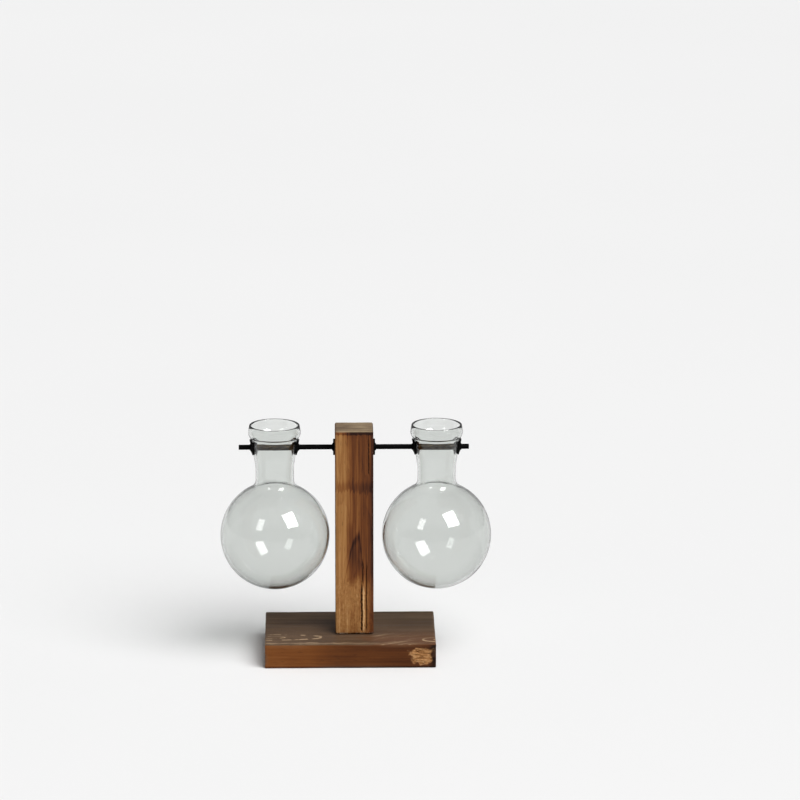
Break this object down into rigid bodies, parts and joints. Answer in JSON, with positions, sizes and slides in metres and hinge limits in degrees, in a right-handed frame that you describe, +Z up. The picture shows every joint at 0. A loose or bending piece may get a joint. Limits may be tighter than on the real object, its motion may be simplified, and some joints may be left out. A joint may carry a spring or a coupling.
{
  "type": "propagation vase",
  "caption": "Propagation vase: round clear glass vases with flared necks hang on a slim black crossbar through a square wooden post on a board base.",
  "frame": {"origin": "centre of the base board's underside", "axes": "+X along the crossbar to the viewer's right, +Y away from the viewer, +Z up"},
  "size_m": [0.1983, 0.0853, 0.1739],
  "materials": {
    "base_wood": "satin",
    "post_wood": "satin",
    "zinc_screw": "satin",
    "black_steel": "satin",
    "black_rubber": "matte",
    "sleeve_rubber": "matte",
    "clear_glass": "gloss"
  },
  "bodies": {
    "stand": {"base_board": "base_wood", "post": "post_wood", "post_screws": "zinc_screw", "left_post_bush": "black_rubber", "right_post_bush": "black_rubber"},
    "crossbar": {"crossbar": "black_steel"},
    "left_sleeve": {"left_bar_sleeve": "sleeve_rubber"},
    "left_vase": {"left_glass_vase": "clear_glass", "left_vase_outer_grommet": "black_rubber", "left_vase_inner_grommet": "black_rubber"},
    "right_sleeve": {"right_bar_sleeve": "sleeve_rubber"},
    "right_vase": {"right_glass_vase": "clear_glass", "right_vase_outer_grommet": "black_rubber", "right_vase_inner_grommet": "black_rubber"}
  },
  "joints": [
    {"name": "crossbar_turn", "type": "hinge", "parent": "stand", "child": "crossbar", "pos_m": [0.0032, -0.0033, 0.157], "axis": [1, 0, 0], "continuous": true},
    {"name": "left_vase_slide", "type": "slide", "parent": "crossbar", "child": "left_sleeve", "axis": [1, 0, 0], "range_m": [-0.011, 0.0037]},
    {"name": "left_vase_swing", "type": "hinge", "parent": "left_sleeve", "child": "left_vase", "pos_m": [-0.0548, -0.0033, 0.157], "axis": [1, 0, 0], "continuous": true},
    {"name": "right_vase_slide", "type": "slide", "parent": "crossbar", "child": "right_sleeve", "axis": [1, 0, 0], "range_m": [-0.006, 0.0085]},
    {"name": "right_vase_swing", "type": "hinge", "parent": "right_sleeve", "child": "right_vase", "pos_m": [0.0635, -0.0033, 0.157], "axis": [1, 0, 0], "continuous": true}
  ]
}
